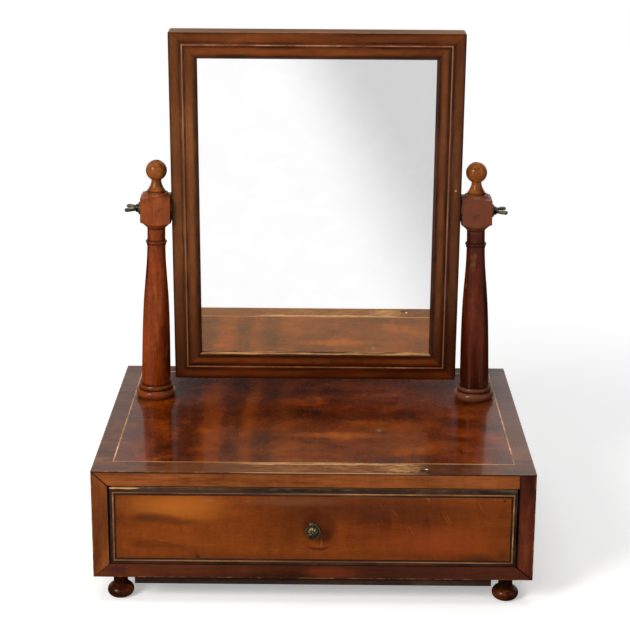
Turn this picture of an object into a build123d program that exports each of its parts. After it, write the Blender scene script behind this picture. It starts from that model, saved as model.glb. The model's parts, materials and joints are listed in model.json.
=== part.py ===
from build123d import *
import math
import os

# Dressing-table mirror on a one-drawer stand. Millimetres, +Z up, front towards -Y.
# The origin is on the floor, under the middle of the whole footprint.

# ---------------------------------------------------------------- driving dimensions
# stand
case_width = 400.0
case_depth = 280.0
case_height = 103.5
board_top = 10.0
board_side = 9.0
board_back = 6.0
board_bottom = 12.5
veneer = 1.0
front_lipping = 5.0
rail_top_height = 13.9
rail_bottom_height = 12.5
stile_width = 14.7
kicker_width = 18.0
guide_height = 16.0
guide_setback = 10.0
stop_size = 12.0
stop_spacing = 220.0
corner_block = 8.0
back_nail_inset = 24.0
under_board_gap = 2.5
under_board_thickness = 8.0
under_board_setback = 4.0

# inlay on the top
top_margin_side = 17.0
top_margin_front = 22.5
top_margin_back = 17.0
string_width = 1.3

# feet
foot_height = 26.0
foot_radius = 12.2
foot_sole_radius = 7.0
foot_neck_radius = 6.6
foot_collar_radius = 10.3
foot_bun_height = 11.2
foot_inset_side = 22.5
foot_inset_front = 18.0
foot_dowel_radius = 4.0
foot_dowel_cover = 3.5

# columns
column_setback = 195.0
column_lean = 1.1
block_side = 29.0
block_above_pivot = 16.4
block_below_pivot = 19.7
block_shoulder_radius = 12.5
block_shoulder_rise = 3.9
block_corner_rise = 8.2
block_crown_radius = 11.5
block_crown_bend_radius = 14.2
block_crown_drop = 2.2
block_corner_drop = 3.2
neck_radius = 8.85
neck_length = 13.8
ring_radius = 10.5
ring_height = 2.4
fillet_radius = 9.6
fillet_height = 2.0
shaft_top_radius = 9.0
shaft_middle_radius = 11.8
shaft_middle_height = 110.4
shaft_low_radius = 13.95
shaft_low_height = 55.0
shaft_bottom_radius = 14.4
bead_radius = 17.0
bead_height = 5.0
bead_edge_radius = 15.8
torus_radius = 19.9
torus_edge_radius = 17.5
torus_height = 8.8
tenon_radius = 7.0

# finials
finial_foot_radius = 8.8
finial_foot_height = 2.2
finial_flare_radius = 6.3
finial_neck_radius = 4.9
finial_neck_height = 10.4
finial_ball_radius = 10.3
finial_ball_centre = 21.9
finial_dowel_radius = 3.0
finial_dowel_length = 10.0

# mirror frame
frame_side_margin = 58.5
frame_height = 355.4
frame_thickness = 16.0
frame_member = 27.0
frame_corner_radius = 2.2
frame_edge_chamfer = 0.7
frame_string_inset = 12.3
frame_string_width = 1.2
frame_band_drop = 1.2
frame_sight_width = 2.2
frame_sight_depth = 4.8
frame_lip = 6.0
frame_rabbet = 7.0
frame_clear = 16.9
mirror_tilt = 3.5
glass_thickness = 3.0
glass_play = 1.0
back_board_thickness = 5.0
pin_count_across = 3
pin_count_up = 4
pin_radius = 0.6
pin_length = 9.0
pin_inset = 45.0

# pivots
pivot_gap = 1.2
washer_radius = 6.5
washer_thickness = 0.7
screw_radius = 2.5
screw_reach = 11.0
collar_radius = 6.4
collar_thickness = 2.6
collar_round = 0.65
hub_radius = 4.2
hub_length = 3.0
ear_spread_root = 6.2
ear_spread_tip = 8.7
ear_root_radius = 1.9
ear_tip_radius = 2.7
ear_length = 9.0
ear_thickness = 3.6
plate_height = 28.0
plate_width = 11.0
plate_thickness = 1.5
plate_screw_spacing = 19.0
plate_screw_radius = 1.2
plate_screw_head_radius = 2.3
plate_screw_length = 9.0

# drawer
drawer_gap_side = 1.7
drawer_gap_top = 2.0
drawer_gap_bottom = 0.8
drawer_recess = 0.8
drawer_core = 13.0
drawer_side_board = 7.0
drawer_back_board = 6.0
drawer_bottom_board = 4.0
drawer_bottom_rise = 4.0
drawer_side_drop = 1.0
drawer_back_drop = 6.0
drawer_groove = 3.5
drawer_end_gap = 6.0
dovetail_count = 3
dovetail_lap = 4.0
dovetail_edge = 2.0
dovetail_flare = 1.6
edge_band_side = 2.4
edge_band_top = 4.2
edge_band_bottom = 2.7
inner_line_width = 1.9
drawer_string_width = 1.2

# knob
knob_projection = 13.5
knob_radius = 7.3
knob_head = 6.2
knob_neck_radius = 3.4
knob_base_radius = 5.2
knob_base_height = 1.2
knob_rim = 2.4
knob_rosette_radius = 5.0
knob_shank_radius = 2.0
knob_nut_size = 8.0
knob_nut_thickness = 3.0
knob_shank_end = 1.0

# nails
nail_radius = 0.8
nail_head_radius = 1.7
nail_head_height = 0.6
nail_length = 14.0
drawer_nail_count = 5
drawer_nail_inset = 28.0
back_nail_count = 6

# clearances
run_clearance = 0.3
shaft_clearance = 0.06
pin_clearance = 0.02
trim_depth = 1.0

# ---------------------------------------------------------------- derived places
knob_reach = knob_projection - drawer_recess
front_y = -(case_depth - knob_reach) / 2
back_y = front_y + case_depth
half_width = case_width / 2
frame_width = case_width - 2 * frame_side_margin
case_floor = foot_height
top_z = case_floor + case_height

side_inner_x = half_width - veneer - board_side
opening_x = half_width - stile_width
opening_top_z = top_z - rail_top_height
opening_bottom_z = case_floor + rail_bottom_height
board_top_z = top_z - veneer
board_underside_z = board_top_z - board_top
boards_front_y = front_y + front_lipping
boards_back_y = back_y - board_back

foot_x = half_width - foot_inset_side
foot_dowel_length = board_bottom - foot_dowel_cover
foot_front_y = front_y + foot_inset_front
foot_back_y = back_y - foot_inset_front

pivot_height = frame_height / 2 + frame_clear
block_bottom = pivot_height - block_below_pivot
block_top = pivot_height + block_above_pivot
pivot_y = front_y + column_setback
pivot_z = top_z + pivot_height
block_x = frame_width / 2 + pivot_gap + block_side / 2
column_x = block_x + pivot_height * math.tan(math.radians(column_lean))

drawer_half = opening_x - drawer_gap_side
drawer_top_z = opening_top_z - drawer_gap_top
drawer_low_z = opening_bottom_z + drawer_gap_bottom
drawer_face_y = front_y + drawer_recess
drawer_core_y = drawer_face_y + veneer
drawer_core_back_y = drawer_core_y + drawer_core
drawer_end_y = boards_back_y - stop_size - run_clearance
drawer_side_top_z = drawer_top_z - drawer_side_drop
drawer_run_z = opening_bottom_z + run_clearance
drawer_bottom_z = drawer_run_z + drawer_bottom_rise
drawer_floor_z = drawer_bottom_z + drawer_bottom_board
knob_z = (drawer_top_z + drawer_low_z) / 2


# ---------------------------------------------------------------- helpers
def board(x0, x1, y0, y1, z0, z1):
    """A rectangular board between two corners."""
    middle = ((x0 + x1) / 2, (y0 + y1) / 2, (z0 + z1) / 2)
    return Pos(*middle) * Box(abs(x1 - x0), abs(y1 - y0), abs(z1 - z0))


def slab(points, z0, z1):
    """A plan outline in X and Y, as thick as z0 to z1."""
    face = make_face(Polyline(*points, close=True))
    return Pos(0, 0, z0) * extrude(face, amount=z1 - z0)


def upright(points, y0, y1):
    """A front outline in X and Z, as thick as y0 to y1."""
    face = make_face(Polyline(*[(x, y0, z) for x, z in points], close=True))
    return extrude(face, amount=y1 - y0, dir=(0, 1, 0))


def sideways(points, x0, x1):
    """A side outline in Y and Z, as thick as x0 to x1."""
    face = make_face(Polyline(*[(x0, y, z) for y, z in points], close=True))
    return extrude(face, amount=x1 - x0, dir=(1, 0, 0))


def rod_x(radius, x0, x1, y=0.0, z=0.0):
    """A round bar along X."""
    bar = Rot(0, 90, 0) * Cylinder(radius, abs(x1 - x0))
    return Pos((x0 + x1) / 2, y, z) * bar


def rod_y(radius, y0, y1, x=0.0, z=0.0):
    """A round bar along Y."""
    bar = Rot(90, 0, 0) * Cylinder(radius, abs(y1 - y0))
    return Pos(x, (y0 + y1) / 2, z) * bar


def rod_z(radius, z0, z1, x=0.0, y=0.0):
    """A round bar along Z."""
    return Pos(x, y, (z0 + z1) / 2) * Cylinder(radius, abs(z1 - z0))


def turned(outline):
    """A solid of revolution about Z from a closed outline in X and Z."""
    section = make_face([Plane.XZ * edge for edge in outline])
    return revolve(section, Axis.Z)


def dome(radius, z0, z1):
    """The outline of a spherical cap, from its rim at z0 to its crown on the axis at z1."""
    rise = z1 - z0
    ball = (radius**2 + rise**2) / (2 * rise)
    half_angle = math.asin(radius / ball) / 2
    middle = (ball * math.sin(half_angle), z1 - ball + ball * math.cos(half_angle))
    return ThreePointArc((radius, z0), middle, (0, z1))


def ring_outline(outer, inner):
    """Four mitred plan strips between two rectangles, each given as x0, x1, y0, y1."""
    ox0, ox1, oy0, oy1 = outer
    ix0, ix1, iy0, iy1 = inner
    front = [(ox0, oy0), (ox1, oy0), (ix1, iy0), (ix0, iy0)]
    right = [(ox1, oy0), (ox1, oy1), (ix1, iy1), (ix1, iy0)]
    back = [(ox1, oy1), (ox0, oy1), (ix0, iy1), (ix1, iy1)]
    left = [(ox0, oy1), (ox0, oy0), (ix0, iy0), (ix0, iy1)]
    return [front, right, back, left]


def inset(rectangle, side, front, back):
    """A rectangle brought in from its four sides."""
    x0, x1, y0, y1 = rectangle
    return (x0 + side, x1 - side, y0 + front, y1 - back)


def nail(length):
    """A flat-headed nail pointing along +Z, with its head's outer face at Z 0."""
    head = rod_z(nail_head_radius, 0, nail_head_height)
    return head + rod_z(nail_radius, nail_head_height, length)


def nail_hole(length):
    """The hole that such a nail lies in."""
    head = rod_z(nail_head_radius + pin_clearance, 0, nail_head_height)
    return head + rod_z(nail_radius + pin_clearance, nail_head_height, length + pin_clearance)


def spread(count, reach):
    """Evenly spaced places from -reach to +reach."""
    return [-reach + 2 * reach * i / (count - 1) for i in range(count)]


def together(shapes):
    """Several separate solids as one group."""
    solids = []
    for shape in shapes:
        solids += shape.solids()
    return Compound(children=solids)


# ---------------------------------------------------------------- stand
def stand():
    """The carcass: boards, front lippings, veneers, guides and blocks."""
    nodes = {}
    plan = (-half_width, half_width, front_y, back_y)
    field = inset(plan, top_margin_side, top_margin_front, top_margin_back)
    inside = inset(field, string_width, string_width, string_width)
    tenons = [
        rod_z(tenon_radius + pin_clearance, board_underside_z, top_z, side * column_x, pivot_y)
        for side in (-1, 1)
    ]

    edge_x = half_width - veneer
    top = board(-edge_x, edge_x, boards_front_y, back_y, board_underside_z, board_top_z)
    nodes["top_board"] = top - tenons[0] - tenons[1]
    strips = [slab(points, board_top_z, top_z) for points in ring_outline(plan, field)]
    nodes["top_crossband"] = together(strips)
    lines = [slab(points, board_top_z, top_z) for points in ring_outline(field, inside)]
    nodes["top_string"] = together(lines)
    centre = board(*inside, board_top_z, top_z)
    nodes["top_field_veneer"] = centre - tenons[0] - tenons[1]

    for name, side in (("left", -1), ("right", 1)):
        nodes["case_side_" + name] = board(
            side * side_inner_x, side * edge_x, boards_front_y, back_y, case_floor, board_underside_z
        )
        nodes["side_veneer_" + name] = board(
            side * edge_x, side * half_width, boards_front_y, back_y, case_floor, board_top_z
        )
        nodes["drawer_guide_" + name] = board(
            side * (drawer_half + run_clearance),
            side * side_inner_x,
            boards_front_y + guide_setback,
            boards_back_y,
            opening_bottom_z,
            opening_bottom_z + guide_height,
        )
        nodes["kicker_" + name] = board(
            side * (side_inner_x - kicker_width),
            side * side_inner_x,
            boards_front_y,
            boards_back_y,
            opening_top_z,
            board_underside_z,
        )

    bottom_low_z = opening_bottom_z - board_bottom
    bottom = board(
        -side_inner_x, side_inner_x, boards_front_y, boards_back_y, bottom_low_z, opening_bottom_z
    )
    for x in (-foot_x, foot_x):
        for y in (foot_front_y, foot_back_y):
            bottom -= rod_z(
                foot_dowel_radius + pin_clearance, bottom_low_z, bottom_low_z + foot_dowel_length, x, y
            )
    nodes["case_bottom"] = bottom
    under_half = foot_x - foot_radius - under_board_gap
    nodes["under_board"] = board(
        -under_half,
        under_half,
        front_y + under_board_setback,
        back_y - under_board_setback,
        case_floor - under_board_thickness,
        case_floor,
    )

    back = board(-side_inner_x, side_inner_x, boards_back_y, back_y, case_floor, board_underside_z)
    nails = []
    reach = side_inner_x - back_nail_inset
    nail_z = opening_bottom_z - board_bottom / 2
    for x in spread(back_nail_count, reach):
        place = Pos(x, back_y, nail_z) * Rot(90, 0, 0)
        nails.append(place * nail(nail_length))
        back -= place * nail_hole(nail_length)
        nodes["case_bottom"] -= place * nail_hole(nail_length)
    nodes["case_back"] = back
    nodes["case_back_nails"] = together(nails)

    # front lippings: mitred, but the top right corner is butted under the rail's end
    x0, x1 = -half_width, half_width
    z0, z1 = case_floor, board_top_z
    low, high = opening_bottom_z, opening_top_z
    nodes["front_rail_top"] = upright(
        [(x0, z1), (opening_x, z1), (opening_x, high), (-opening_x, high)], front_y, boards_front_y
    )
    nodes["front_stile_right"] = upright(
        [(opening_x, z1), (x1, z1), (x1, z0), (opening_x, low)], front_y, boards_front_y
    )
    nodes["front_rail_bottom"] = upright(
        [(x0, z0), (x1, z0), (opening_x, low), (-opening_x, low)], front_y, boards_front_y
    )
    nodes["front_stile_left"] = upright(
        [(x0, z0), (-opening_x, low), (-opening_x, high), (x0, z1)], front_y, boards_front_y
    )

    stops = []
    for x in (-stop_spacing / 2, stop_spacing / 2):
        stops.append(
            board(
                x - stop_size,
                x + stop_size,
                boards_back_y - stop_size,
                boards_back_y,
                opening_bottom_z,
                opening_bottom_z + stop_size,
            )
        )
    nodes["drawer_stops"] = together(stops)

    blocks = []
    for side in (-1, 1):
        corner = side * side_inner_x
        plan_block = [
            (corner, boards_back_y),
            (corner - side * corner_block, boards_back_y),
            (corner, boards_back_y - corner_block),
        ]
        blocks.append(slab(plan_block, opening_bottom_z + guide_height, opening_top_z))
    nodes["glue_blocks"] = together(blocks)
    return nodes


# ---------------------------------------------------------------- feet
def foot():
    """A turned bun foot standing on Z 0, with its dowel."""
    bun_middle = foot_bun_height / 2
    neck_top = (foot_bun_height + foot_height) / 2
    outline = [
        Line((0, 0), (foot_sole_radius, 0)),
        ThreePointArc(
            (foot_sole_radius, 0), (foot_radius, bun_middle), (foot_neck_radius, foot_bun_height)
        ),
        Line((foot_neck_radius, foot_bun_height), (foot_neck_radius, neck_top)),
        Line((foot_neck_radius, neck_top), (foot_collar_radius, foot_height)),
        Line((foot_collar_radius, foot_height), (0, foot_height)),
        Line((0, foot_height), (0, 0)),
    ]
    dowel = rod_z(foot_dowel_radius, foot_height, foot_height + foot_dowel_length)
    return turned(outline) + dowel


# ---------------------------------------------------------------- columns
def lean(shape, side):
    """Stands an upright column piece in its place, leaning in towards the mirror."""
    tipped = Rot(0, -side * column_lean, 0) * shape
    return Pos(side * column_x, pivot_y, top_z) * tipped


def column_outline():
    """Half section of the turned column, from a little under the top board's face."""
    torus_middle = torus_height / 2
    bead_low = torus_height
    bead_high = torus_height + bead_height
    ring_centre = block_bottom - neck_length
    ring_low = ring_centre - ring_height / 2
    ring_high = ring_centre + ring_height / 2
    fillet_low = ring_low - fillet_height
    sunk = -trim_depth
    foot_r = torus_edge_radius
    join_r = bead_edge_radius
    return [
        Line((0, sunk), (foot_r, sunk)),
        Line((foot_r, sunk), (foot_r, 0)),
        ThreePointArc((foot_r, 0), (torus_radius, torus_middle), (foot_r, torus_height)),
        Line((foot_r, bead_low), (join_r, bead_low)),
        ThreePointArc(
            (join_r, bead_low), (bead_radius, bead_low + bead_height / 2), (join_r, bead_high)
        ),
        Line((join_r, bead_high), (shaft_bottom_radius, bead_high)),
        Spline(
            (shaft_bottom_radius, bead_high),
            (shaft_low_radius, shaft_low_height),
            (shaft_middle_radius, shaft_middle_height),
            (shaft_top_radius, fillet_low),
            tangents=((0, 1), (0, 1)),
        ),
        Line((shaft_top_radius, fillet_low), (fillet_radius, fillet_low)),
        Line((fillet_radius, fillet_low), (fillet_radius, ring_low)),
        ThreePointArc((fillet_radius, ring_low), (ring_radius, ring_centre), (fillet_radius, ring_high)),
        Line((fillet_radius, ring_high), (neck_radius, ring_high)),
        Line((neck_radius, ring_high), (neck_radius, block_bottom)),
        Line((neck_radius, block_bottom), (0, block_bottom)),
        Line((0, block_bottom), (0, sunk)),
    ]


def column_block():
    """The square block at the column's head, with turned shoulders."""
    half = block_side / 2
    corner = half * math.sqrt(2)
    corner_low = block_bottom + block_corner_rise
    corner_high = block_top - block_corner_drop
    crown = block_crown_radius
    outline = [
        Line((0, block_bottom), (neck_radius, block_bottom)),
        ThreePointArc(
            (neck_radius, block_bottom),
            (block_shoulder_radius, block_bottom + block_shoulder_rise),
            (corner, corner_low),
        ),
        Line((corner, corner_low), (corner, corner_high)),
        ThreePointArc(
            (corner, corner_high),
            (block_crown_bend_radius, block_top - block_crown_drop),
            (crown, block_top),
        ),
        Line((crown, block_top), (0, block_top)),
        Line((0, block_top), (0, block_bottom)),
    ]
    square = board(-half, half, -half, half, block_bottom, block_top)
    return turned(outline) & square


def column(side):
    """One column with its tenon, pivot bore and dowel hole."""
    body = turned(column_outline()) + column_block()
    hole = rod_z(finial_dowel_radius + pin_clearance, block_top - finial_dowel_length, block_top)
    post = lean(body - hole, side)
    size = 2 * torus_radius
    sink = Pos(side * column_x, pivot_y, top_z - size / 2) * Box(2 * size, 2 * size, size)
    tenon = rod_z(tenon_radius, board_underside_z, top_z, side * column_x, pivot_y)
    bore = rod_x(
        screw_radius + shaft_clearance,
        side * (block_x - block_side),
        side * (block_x + block_side),
        pivot_y,
        pivot_z,
    )
    return (post - sink) + tenon - bore


def finial(side):
    """The ball finial and its dowel."""
    neck_z = finial_neck_height
    drop = math.sqrt(finial_ball_radius**2 - finial_neck_radius**2)
    join_z = finial_ball_centre - drop
    crown = finial_ball_centre + finial_ball_radius
    flare_r = finial_flare_radius
    flare_z = (finial_foot_height + neck_z) / 2
    outline = [
        Line((0, 0), (finial_foot_radius, 0)),
        Line((finial_foot_radius, 0), (finial_foot_radius, finial_foot_height)),
        ThreePointArc(
            (finial_foot_radius, finial_foot_height),
            (flare_r, flare_z),
            (finial_neck_radius, neck_z),
        ),
        Line((finial_neck_radius, neck_z), (finial_neck_radius, join_z)),
        ThreePointArc(
            (finial_neck_radius, join_z),
            (finial_ball_radius, finial_ball_centre),
            (0, crown),
        ),
        Line((0, crown), (0, 0)),
    ]
    dowel = rod_z(finial_dowel_radius, -finial_dowel_length, 0)
    return lean(Pos(0, 0, block_top) * (turned(outline) + dowel), side)


def pivot_washer(side):
    """A thin washer between the block and the mirror frame."""
    inner = side * (frame_width / 2 + (pivot_gap - washer_thickness) / 2)
    outer = inner + side * washer_thickness
    ring = rod_x(washer_radius, inner, outer, pivot_y, pivot_z)
    return ring - rod_x(screw_radius + shaft_clearance, inner, outer, pivot_y, pivot_z)


def wing_screw(side):
    """The winged clamping screw: shaft, collar, hub and two ears, on its own axis."""
    seat = block_x + block_side / 2 / math.cos(math.radians(column_lean))
    seat += collar_radius * math.tan(math.radians(column_lean)) + run_clearance / 2
    tip = frame_width / 2 - screw_reach
    shaft = rod_x(screw_radius, tip, seat)
    collar = rod_x(collar_radius, seat, seat + collar_thickness)
    hub_x = seat + collar_thickness
    hub = rod_x(hub_radius, hub_x, hub_x + hub_length)
    body = shaft + fillet(collar.edges(), collar_round) + hub
    root_x = hub_x + hub_length - ear_root_radius
    half_ear = ear_thickness / 2
    bridge_end = root_x + ear_root_radius
    bridge = board(hub_x, bridge_end, -ear_spread_root, ear_spread_root, -half_ear, half_ear)
    body += bridge
    for way in (-1, 1):
        root = Pos(root_x, way * ear_spread_root) * Circle(ear_root_radius)
        tip_disc = Pos(root_x + ear_length, way * ear_spread_tip) * Circle(ear_tip_radius)
        ear = make_hull((root + tip_disc).edges())
        ear_solid = extrude(ear, amount=half_ear, both=True)
        body += ear_solid
    if side < 0:
        body = mirror(body, Plane.YZ)
    return Pos(0, pivot_y, pivot_z) * body


# ---------------------------------------------------------------- mirror
def hang(shape):
    """Moves a mirror piece from its own upright place, pivot at the origin, to its tilted rest."""
    return Pos(0, pivot_y, pivot_z) * (Rot(mirror_tilt, 0, 0) * shape)


def frame_section():
    """Section of a frame member: across from its outer edge, and back from the pivot plane."""
    front = -frame_thickness / 2
    back = frame_thickness / 2
    bevel_start = frame_string_inset + frame_string_width
    return [
        (0, front + frame_edge_chamfer),
        (frame_edge_chamfer, front),
        (bevel_start, front),
        (frame_member - frame_sight_width, front + frame_band_drop),
        (frame_member, front + frame_sight_depth),
        (frame_member, front + frame_lip),
        (frame_member - frame_rabbet, front + frame_lip),
        (frame_member - frame_rabbet, back),
        (0, back),
    ]


def mirror_frame():
    """The mitred frame, its inlaid string, the glass, the back and the pivot plates."""
    nodes = {}
    half_w = frame_width / 2
    half_h = frame_height / 2
    front = -frame_thickness / 2
    back = frame_thickness / 2
    deep = 2 * frame_thickness
    long = 2 * (frame_width + frame_height)

    rounded = RectangleRounded(frame_width, frame_height, frame_corner_radius)
    outline = extrude(Plane.XZ * rounded, amount=deep, both=True)
    outer = (-half_w, half_w, -half_h, half_h)
    inner = inset(outer, frame_member, frame_member, frame_member)
    bottom_cut, right_cut, top_cut, left_cut = [
        upright(points, -deep, deep) for points in ring_outline(outer, inner)
    ]

    section = frame_section()
    stile = slab([(-half_w + a, w) for a, w in section], -long / 2, long / 2)
    rail = sideways([(w, half_h - a) for a, w in section], -long / 2, long / 2)
    members = {
        "frame_rail_top": rail & top_cut & outline,
        "frame_rail_bottom": mirror(rail, Plane.XY) & bottom_cut & outline,
        "frame_stile_left": stile & left_cut & outline,
        "frame_stile_right": mirror(stile, Plane.YZ) & right_cut & outline,
    }

    line_out = inset(outer, frame_string_inset, frame_string_inset, frame_string_inset)
    line_in = inset(line_out, frame_string_width, frame_string_width, frame_string_width)
    lines = [upright(points, front, front + veneer) for points in ring_outline(line_out, line_in)]
    for name in members:
        for line in lines:
            members[name] -= line
    nodes["frame_string"] = together(lines)

    # pivot plates, let into the outer edges of the stiles, and their screws
    screws = []
    for name, side in (("left", -1), ("right", 1)):
        edge = side * half_w
        plate = board(
            edge - side * plate_thickness,
            edge,
            -plate_width / 2,
            plate_width / 2,
            -plate_height / 2,
            plate_height / 2,
        )
        stile_name = "frame_stile_" + name
        members[stile_name] -= plate
        for z in (-plate_screw_spacing / 2, plate_screw_spacing / 2):
            shank = rod_x(plate_screw_radius, edge - side * plate_screw_length, edge, 0, z)
            head = rod_x(plate_screw_head_radius, edge - side * plate_thickness / 2, edge, 0, z)
            screw = shank + head
            screws.append(screw)
            plate -= screw
            members[stile_name] -= screw
        bore = rod_x(
            screw_radius + shaft_clearance, edge - side * (screw_reach + run_clearance), edge
        )
        nodes["pivot_plate_" + name] = plate - bore
        members[stile_name] -= bore
    nodes["pivot_plate_screws"] = together(screws)

    seat = front + frame_lip
    reach = frame_member - frame_rabbet
    glass_w = half_w - reach - glass_play
    glass_h = half_h - reach - glass_play
    glass_back = seat + glass_thickness
    board_back_face = glass_back + back_board_thickness
    nodes["mirror_glass"] = board(-glass_w, glass_w, seat, glass_back, -glass_h, glass_h)
    nodes["mirror_back_board"] = board(
        -glass_w, glass_w, glass_back, board_back_face, -glass_h, glass_h
    )

    # headless pins driven into the rabbet's wall, lying flat on the back board
    pins = []
    pin_y = board_back_face + pin_radius
    wall_x = half_w - reach
    wall_z = half_h - reach
    tail = pin_length / 2
    for x in spread(pin_count_across, wall_x - pin_inset):
        for way, name in ((-1, "frame_rail_bottom"), (1, "frame_rail_top")):
            pin = rod_z(pin_radius, way * (wall_z - tail), way * (wall_z + tail), x, pin_y)
            pins.append(pin)
            members[name] -= pin
    for z in spread(pin_count_up, wall_z - pin_inset):
        for way, name in ((-1, "frame_stile_left"), (1, "frame_stile_right")):
            pin = rod_x(pin_radius, way * (wall_x - tail), way * (wall_x + tail), pin_y, z)
            pins.append(pin)
            members[name] -= pin
    nodes["back_board_pins"] = together(pins)
    nodes.update(members)
    return {name: hang(shape) for name, shape in nodes.items()}


# ---------------------------------------------------------------- drawer
def tails(y_root, y_end, z0, z1, count):
    """Side outlines of dovetail tails that grow wider from y_root to y_end."""
    pitch = (z1 - z0) / count
    shapes = []
    for i in range(count):
        middle = z0 + pitch * (i + 0.5)
        root = pitch / 4
        end = root + dovetail_flare
        shapes.append(
            [(y_root, middle - root), (y_end, middle - end), (y_end, middle + end), (y_root, middle + root)]
        )
    return shapes


def drawer():
    """The dovetailed drawer with its inlaid front."""
    nodes = {}
    side_in = drawer_half - drawer_side_board
    joint_z0 = drawer_low_z + dovetail_edge
    joint_z1 = drawer_side_top_z
    back_front_y = drawer_end_y - drawer_back_board

    front = board(
        -drawer_half, drawer_half, drawer_core_y, drawer_core_back_y, drawer_low_z, drawer_top_z
    )
    groove_z0 = drawer_bottom_z
    groove_z1 = drawer_floor_z
    back = board(
        -side_in, side_in, back_front_y, drawer_end_y, groove_z1, drawer_side_top_z - drawer_back_drop
    )
    floor = board(
        -side_in - drawer_groove,
        side_in + drawer_groove,
        drawer_core_back_y - drawer_groove,
        drawer_end_y,
        groove_z0,
        groove_z1,
    )

    for name, side in (("left", -1), ("right", 1)):
        x0, x1 = sorted((side * side_in, side * drawer_half))
        plank = board(x0, x1, drawer_core_back_y, drawer_end_y, drawer_run_z, drawer_side_top_z)
        for points in tails(
            drawer_core_back_y, drawer_core_y + dovetail_lap, joint_z0, joint_z1, dovetail_count
        ):
            tail = sideways(points, x0, x1)
            plank += tail
            front -= tail
        for points in tails(
            back_front_y, drawer_end_y, groove_z1, drawer_side_top_z - drawer_back_drop, dovetail_count
        ):
            pin = sideways(points, x0, x1)
            plank -= pin
            back += pin
        nodes["drawer_side_" + name] = plank - floor
    front -= floor

    nails = []
    for x in spread(drawer_nail_count, side_in - drawer_nail_inset):
        place = Pos(x, (back_front_y + drawer_end_y) / 2, groove_z0)
        nails.append(place * nail(nail_length))
        floor -= place * nail_hole(nail_length)
        back -= place * nail_hole(nail_length)
    nodes["drawer_bottom_nails"] = together(nails)
    nodes["drawer_bottom"] = floor
    nodes["drawer_back"] = back

    # face: dark outer band, light string, dark inner line and the figured panel
    face = (-drawer_half, drawer_half, drawer_low_z, drawer_top_z)
    string_out = inset(face, edge_band_side, edge_band_bottom, edge_band_top)
    string_in = inset(string_out, drawer_string_width, drawer_string_width, drawer_string_width)
    panel_edge = inset(string_in, inner_line_width, inner_line_width, inner_line_width)
    layers = {
        "drawer_edge_band": ring_outline(face, string_out),
        "drawer_string": ring_outline(string_out, string_in),
        "drawer_inner_line": ring_outline(string_in, panel_edge),
    }
    for name, outlines in layers.items():
        strips = [upright(points, drawer_face_y, drawer_core_y) for points in outlines]
        nodes[name] = together(strips)
    x0, x1, z0, z1 = panel_edge
    shank_hole = rod_y(
        knob_shank_radius + pin_clearance, drawer_face_y, drawer_core_back_y, 0, knob_z
    )
    panel = board(x0, x1, drawer_face_y, drawer_core_y, z0, z1)
    nodes["drawer_panel_veneer"] = panel - shank_hole
    nodes["drawer_front"] = front - shank_hole
    return nodes


def knob():
    """The stepped rosette knob, its shank through the drawer front, and the nut inside."""
    head_z = knob_projection - knob_head
    rim_radius = knob_radius - knob_rim / 3
    rim_low = head_z + knob_rim / 4
    rim_high = rim_low + knob_rim
    rosette_z = rim_high + knob_rim / 4
    outline = [
        Line((0, 0), (knob_base_radius, 0)),
        Line((knob_base_radius, 0), (knob_base_radius, knob_base_height)),
        ThreePointArc(
            (knob_base_radius, knob_base_height), (knob_neck_radius, head_z / 2), (rim_radius, rim_low)
        ),
        ThreePointArc(
            (rim_radius, rim_low), (knob_radius, (rim_low + rim_high) / 2), (rim_radius, rim_high)
        ),
        Line((rim_radius, rim_high), (knob_rosette_radius, rim_high)),
        Line((knob_rosette_radius, rim_high), (knob_rosette_radius, rosette_z)),
        dome(knob_rosette_radius, rosette_z, knob_projection),
        Line((0, knob_projection), (0, 0)),
    ]
    shank_length = veneer + drawer_core + knob_nut_thickness + knob_shank_end
    shank = rod_z(knob_shank_radius, -shank_length, 0)
    place = Pos(0, drawer_face_y, knob_z) * Rot(90, 0, 0)
    nut_face = RegularPolygon(knob_nut_size / 2, 6) - Circle(knob_shank_radius + pin_clearance)
    nut_z = -(veneer + drawer_core + knob_nut_thickness)
    nut = Pos(0, 0, nut_z) * extrude(nut_face, amount=knob_nut_thickness)
    return {"drawer_knob": place * (turned(outline) + shank), "knob_nut": place * nut}


# ---------------------------------------------------------------- build and save
def main():
    nodes = stand()
    for name, x, y in (
        ("foot_front_left", -foot_x, foot_front_y),
        ("foot_front_right", foot_x, foot_front_y),
        ("foot_back_left", -foot_x, foot_back_y),
        ("foot_back_right", foot_x, foot_back_y),
    ):
        nodes[name] = Pos(x, y, 0) * foot()
    for name, side in (("left", -1), ("right", 1)):
        nodes["column_" + name] = column(side)
        nodes["finial_" + name] = finial(side)
        nodes["pivot_washer_" + name] = pivot_washer(side)
        nodes["wing_screw_" + name] = wing_screw(side)
    nodes.update(mirror_frame())
    nodes.update(drawer())
    nodes.update(knob())

    os.makedirs("parts", exist_ok=True)
    for name, shape in nodes.items():
        export_step(shape, "parts/" + name + ".step")
    print(len(nodes), "nodes")
    print("pivot", round(pivot_y, 3), round(pivot_z, 3), "top", round(top_z, 3), "front", round(front_y, 3))


main()
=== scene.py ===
"""Looks of the dressing-table mirror: woods, metals, glass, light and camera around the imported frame.

Places and sizes are in millimetres, as in the part's source, and MM turns them into Blender's metres.
Tones are sRGB, 0 to 255. The scales of the noises are per metre.
"""
import json
import math

import bmesh
import bpy
from mathutils import Matrix, Vector


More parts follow.
